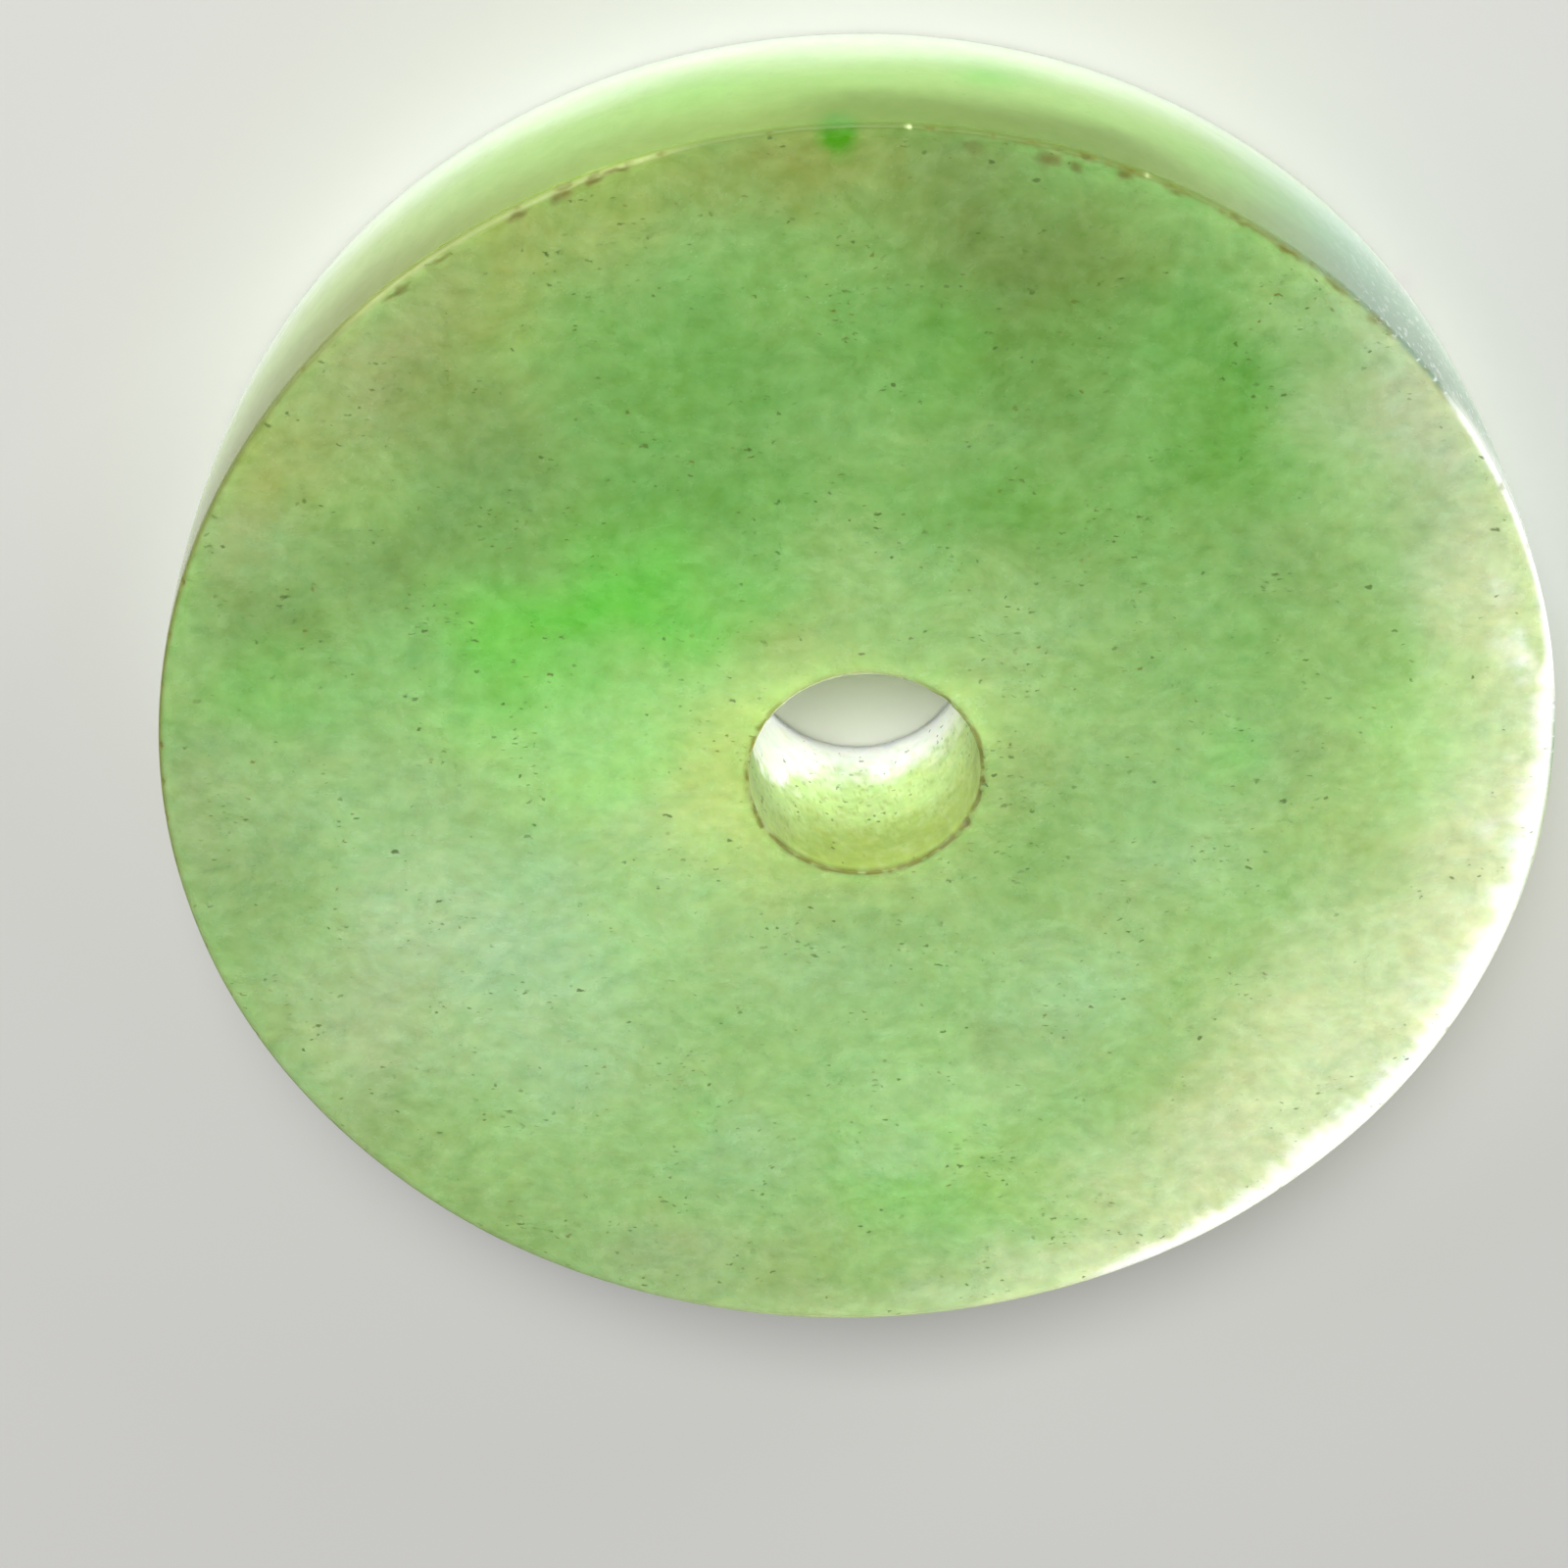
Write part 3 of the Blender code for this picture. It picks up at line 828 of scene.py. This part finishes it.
def jade_material():
    material = bpy.data.materials.new("jade")
    material.use_nodes = True
    graph = Graph(material.node_tree)
    shader = material.node_tree.nodes["Principled BSDF"]
    at = graph.scaled(graph.node("ShaderNodeTexCoord").outputs["Object"], 1 / MM)
    detail = graph.attribute("detail")
    swirled = graph.vector("MULTIPLY", graph.attribute("swirl", "Vector"), WISP_STRETCH)
    clouds = graph.clouds(swirled, WISP_SIZE, WISP_DETAIL, WISP_ROUGHNESS)
    color = mottled(graph, graph.scaled(clouds, detail), graph.attribute("stone_color", "Color"))
    ragged = graph.vector("ADD", at, graph.scaled(clouds, SPECK_RAGGEDNESS))
    color = speckled(graph, ragged, graph.product(detail, detail), color)
    gloss = graph.math("MULTIPLY", graph.node("ShaderNodeSeparateXYZ", Vector=clouds).outputs[2], GLOSS_SWING)
    graph.feed(shader.inputs["Base Color"], color)
    graph.feed(shader.inputs["Roughness"], graph.math("ADD", graph.attribute("finish"), gloss))
    shader.inputs["IOR"].default_value = STONE_IOR
    shader.inputs["Subsurface Weight"].default_value = 1.0
    shader.inputs["Subsurface Radius"].default_value = GLOW_RADIUS
    shader.inputs["Subsurface Scale"].default_value = GLOW_SCALE
    return material


def jade_disc():
    disc = bpy.data.objects.new("jade_stone", disc_mesh())
    bpy.context.scene.collection.objects.link(disc)
    disc.data.materials.append(jade_material())
    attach(disc, "root")
    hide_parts("jade_disc")
    return disc


FLOOR_COLOR = srgb(206, 205, 201)
FLOOR_SIZE = 3.0  # metres
FLOOR_GAP = 0.05 * MM
FLOOR_ROUGHNESS = 0.7


def floor():
    bpy.ops.mesh.primitive_plane_add(size=FLOOR_SIZE, location=(0.0, 0.0, LOW.z - FLOOR_GAP))
    plane = bpy.context.object
    plane.name = "floor"
    material = bpy.data.materials.new("floor")
    material.use_nodes = True
    shader = material.node_tree.nodes["Principled BSDF"]
    shader.inputs["Base Color"].default_value = FLOOR_COLOR
    shader.inputs["Roughness"].default_value = FLOOR_ROUGHNESS
    plane.data.materials.append(material)


BEAM_RADIUS, BEAM_DISTANCE = 0.0025, 0.15  # metres
BEAM_SLANT = 49  # degrees above the face
SKY_COLOR, SKY_STRENGTH = (0.95, 0.97, 1.0, 1.0), 0.22
BEAM_OFFSET = 1.5  # how far from the bore's centre a beam crosses the face, towards its lamp


def add_lamp(lamp, azimuth, elevation, distance, target=(0.0, 0.0, 0.0)):
    """Aims a lamp at a point and returns it. Azimuth runs from +X to +Y in degrees, lengths are in metres."""
    obj = bpy.data.objects.new(lamp.name, lamp)
    turn, rise = math.radians(azimuth), math.radians(elevation)
    away = Vector((math.cos(turn) * math.cos(rise), math.sin(turn) * math.cos(rise), math.sin(rise)))
    obj.location = Vector(target) + away * distance
    obj.rotation_euler = away.to_track_quat("Z", "Y").to_euler()
    bpy.context.scene.collection.objects.link(obj)
    return obj


def area_light(name, azimuth, elevation, distance, size, watts, color=(1.0, 1.0, 1.0)):
    lamp = bpy.data.lights.new(name, "AREA")
    lamp.size = size
    lamp.energy = watts
    lamp.color = color
    return add_lamp(lamp, azimuth, elevation, distance)


def bore_light(name, azimuth, watts):
    """A narrow beam that slants through the bore's mouth onto the far side of its wall."""
    lamp = bpy.data.lights.new(name, "SPOT")
    lamp.energy = watts
    lamp.spot_size = 2 * math.atan(BEAM_RADIUS / BEAM_DISTANCE)
    lamp.spot_blend = 0.2
    lamp.shadow_soft_size = 0.001
    turn = math.radians(azimuth)
    across, along = BORE_X + BEAM_OFFSET * math.cos(turn), BORE_Y + BEAM_OFFSET * math.sin(turn)
    return add_lamp(lamp, azimuth, BEAM_SLANT, BEAM_DISTANCE, (across * MM, along * MM, HIGH.z))


def lights(disc):
    area_light("key", 98, 50, 0.7, 0.30, 4.9)
    area_light("side", 156, 20, 0.4, 0.20, 0.38)
    area_light("side_right", 50, 16, 0.4, 0.12, 0.34)
    stone_only = [
        area_light("sweep", -40, 28, 0.25, 0.12, 0.30),
        area_light("edge_glow", -28, 4, 0.30, 0.04, 0.38, (1.0, 0.99, 0.96)),
        bore_light("bore_left", 38, 1.0),
        bore_light("bore_middle", 90, 0.5),
        bore_light("bore_right", 138, 0.52),
    ]
    stone = bpy.data.collections.new("stone")
    stone.objects.link(disc)
    for lamp in stone_only:
        lamp.light_linking.receiver_collection = stone  # kept off the floor
        lamp.visible_glossy = False
    world = bpy.data.worlds.new("studio")
    world.use_nodes = True
    background = world.node_tree.nodes["Background"]
    background.inputs["Color"].default_value = SKY_COLOR
    background.inputs["Strength"].default_value = SKY_STRENGTH
    bpy.context.scene.world = world


def photo_camera():
    """The photograph's view of the front face, now looking down on it with the face's top nearest."""
    normal = Vector((
        math.sin(CAMERA_TURN) * math.cos(CAMERA_TILT),
        -math.sin(CAMERA_TILT),
        math.cos(CAMERA_TURN) * math.cos(CAMERA_TILT),
    ))
    right = Vector((0.0, 1.0, 0.0)).cross(normal).normalized()
    turn = Matrix((right, normal.cross(right), normal))
    face_centre = Vector((0.0, 0.0, HIGH.z))
    from_camera = turn @ Vector((FACE_RIGHT_OF_AXIS, FACE_ABOVE_AXIS, -CAMERA_DISTANCE)) * MM
    data = bpy.data.cameras.new("photo")
    data.sensor_width = SENSOR_MM
    data.lens = SENSOR_MM * FOCAL_PX / PHOTO_PX
    data.clip_start = 0.01
    camera = bpy.data.objects.new("photo", data)
    camera.matrix_world = Matrix.Translation(face_centre - from_camera) @ turn.to_4x4()
    bpy.context.scene.collection.objects.link(camera)
    bpy.context.scene.camera = camera


stone_disc = jade_disc()
floor()
lights(stone_disc)
photo_camera()
bpy.context.scene.view_settings.view_transform = "Standard"
